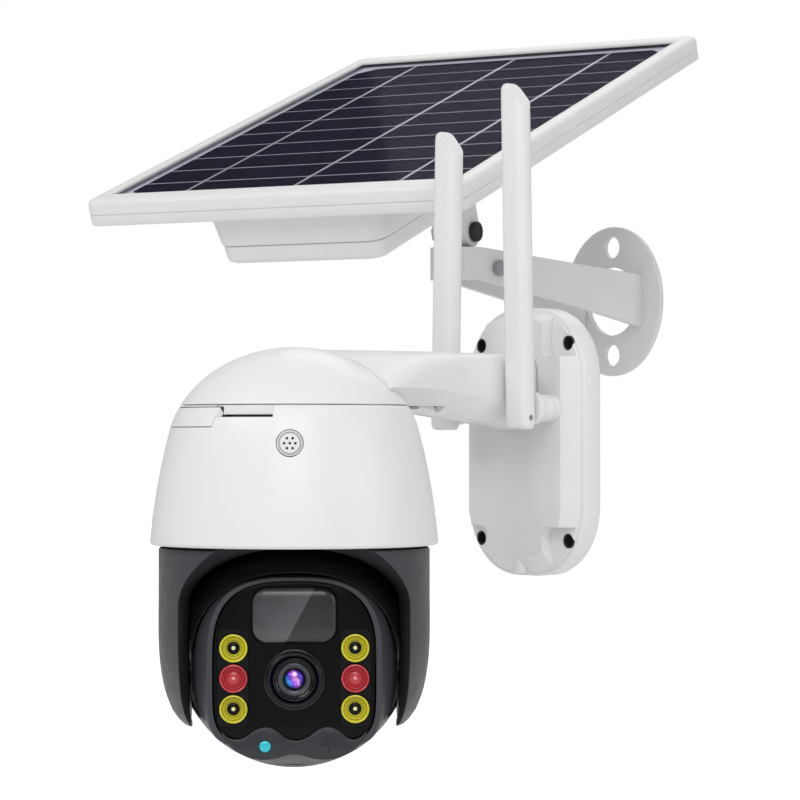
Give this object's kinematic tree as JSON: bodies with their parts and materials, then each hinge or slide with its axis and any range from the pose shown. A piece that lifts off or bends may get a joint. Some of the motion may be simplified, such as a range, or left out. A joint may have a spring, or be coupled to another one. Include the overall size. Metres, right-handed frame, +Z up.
{
  "type": "solar-powered pan and tilt security camera",
  "caption": "Wall-mounted pan and tilt security camera with a domed arm, two flat antennas, lamps and lens, and a solar panel on its own bracket.",
  "frame": {"origin": "middle of the back face of the camera's wall plate", "axes": "+Z up, +Y into the camera's wall, the camera reaches out along -Y"},
  "size_m": [0.33, 0.3901, 0.3097],
  "materials": {
    "white_plastic": "satin",
    "grey_plastic": "satin",
    "black_plastic": "satin",
    "face_gloss": "gloss",
    "trim_plastic": "satin",
    "bracket_paint": "satin",
    "frame_coat": "satin",
    "steel": "brushed",
    "brass": "machined",
    "board_green": "solder mask",
    "lens_glass": "polished",
    "panel_glass": "polished",
    "smoked_lens": "satin",
    "cell_blue": "laminated",
    "yellow_cup": "gloss",
    "red_cup": "gloss",
    "cyan_window": "gloss",
    "rubber": "matte"
  },
  "bodies": {
    "root": {"wall_plate": "white_plastic", "arm_shell": "white_plastic", "arm_cover": "white_plastic", "dome_cap": "white_plastic", "dome_shell": "white_plastic", "card_reader": "black_plastic", "speaker_grille": "white_plastic", "speaker": "black_plastic", "pan_deck": "black_plastic", "pan_bearing": "steel", "pan_motor": "steel", "main_board": "board_green", "antenna_socket_near": "white_plastic", "antenna_socket_far": "white_plastic", "solar_bracket": "bracket_paint", "clamp_bolt": "steel"},
    "card_flap": {"card_flap": "white_plastic"},
    "reset_button": {"reset_button": "steel"},
    "pan_pinion": {"pan_pinion": "brass"},
    "head_pan": {"yoke": "grey_plastic", "pan_wheel": "black_plastic", "tilt_bush_left": "black_plastic", "tilt_bush_right": "black_plastic"},
    "head_tilt": {"head_front_shell": "grey_plastic", "head_rear_shell": "black_plastic", "face_panel": "face_gloss", "white_lamp_left_upper": "yellow_cup", "white_lamp_left_lower": "yellow_cup", "white_lamp_right_upper": "yellow_cup", "white_lamp_right_lower": "yellow_cup", "infrared_lamp_left": "red_cup", "infrared_lamp_right": "red_cup", "pir_lens": "smoked_lens", "lens_ring": "black_plastic", "lens_barrel": "black_plastic", "lens_glass": "lens_glass", "wave_trim": "trim_plastic", "light_sensor_window": "cyan_window", "lamp_board": "board_green", "sensor_board": "board_green", "tilt_motor": "steel", "tilt_shaft_left": "steel", "tilt_shaft_right": "steel"},
    "antenna_near_knuckle": {"antenna_knuckle_near": "white_plastic"},
    "antenna_near": {"antenna_blade_near": "white_plastic", "antenna_pin_near": "steel"},
    "antenna_far_knuckle": {"antenna_knuckle_far": "white_plastic"},
    "antenna_far": {"antenna_blade_far": "white_plastic", "antenna_pin_far": "steel"},
    "panel_swivel": {"swivel_post": "bracket_paint"},
    "panel_tilt": {"panel_clevis": "bracket_paint", "tilt_bolt": "steel", "bolt_cap": "rubber", "panel_frame": "frame_coat", "panel_glass": "panel_glass", "cell_sheet": "cell_blue", "battery_box": "white_plastic", "battery_lid": "white_plastic", "battery_cell_left": "steel", "battery_cell_right": "steel"}
  },
  "joints": [
    {"name": "head_pan", "type": "hinge", "parent": "root", "child": "head_pan", "pos_m": [0, -0.128, 0], "axis": [0, 0, 1], "range_deg": [-227.5, 127.5]},
    {"name": "head_tilt", "type": "hinge", "parent": "head_pan", "child": "head_tilt", "pos_m": [0, -0.128, -0.076], "axis": [0.6428, 0.766, 0], "range_deg": [-10, 90]},
    {"name": "pan_pinion_spin", "type": "hinge", "parent": "root", "child": "pan_pinion", "pos_m": [-0.02306, -0.10865, -0.028], "axis": [0, 0, 1], "range_deg": [-515, 915]},
    {"name": "antenna_near_swivel", "type": "hinge", "parent": "root", "child": "antenna_near_knuckle", "pos_m": [0.021, -0.026, 0.013], "axis": [0, 1, 0], "range_deg": [0, 45]},
    {"name": "antenna_near_fold", "type": "hinge", "parent": "antenna_near_knuckle", "child": "antenna_near", "pos_m": [0.02108, -0.033, 0.0091], "axis": [0.9998, 0, 0.0209], "range_deg": [0, 18]},
    {"name": "antenna_far_swivel", "type": "hinge", "parent": "root", "child": "antenna_far_knuckle", "pos_m": [-0.021, -0.026, 0.013], "axis": [0, -1, 0], "range_deg": [0, 12]},
    {"name": "antenna_far_fold", "type": "hinge", "parent": "antenna_far_knuckle", "child": "antenna_far", "pos_m": [-0.02108, -0.033, 0.0091], "axis": [0.9998, 0, -0.0209], "range_deg": [0, 18]},
    {"name": "panel_swivel", "type": "hinge", "parent": "root", "child": "panel_swivel", "pos_m": [-0.1558, 0.0991, 0.081], "axis": [0, 0, 1], "range_deg": [-64, 25]},
    {"name": "panel_tilt", "type": "hinge", "parent": "panel_swivel", "child": "panel_tilt", "pos_m": [-0.1558, 0.0991, 0.0955], "axis": [0.9444, 0.3289, 0], "range_deg": [-20, 54]},
    {"name": "card_flap_hinge", "type": "hinge", "parent": "root", "child": "card_flap", "pos_m": [-0.01333, -0.17161, 0.0054], "axis": [0.9563, -0.2924, 0], "range_deg": [0, 90]},
    {"name": "reset_button_press", "type": "slide", "parent": "root", "child": "reset_button", "axis": [0.2924, 0.9563, 0], "range_m": [0, 0.0008]}
  ],
  "couplings": [
    {"joint": "pan_pinion_spin", "follows": "head_pan", "ratio": -4}
  ]
}
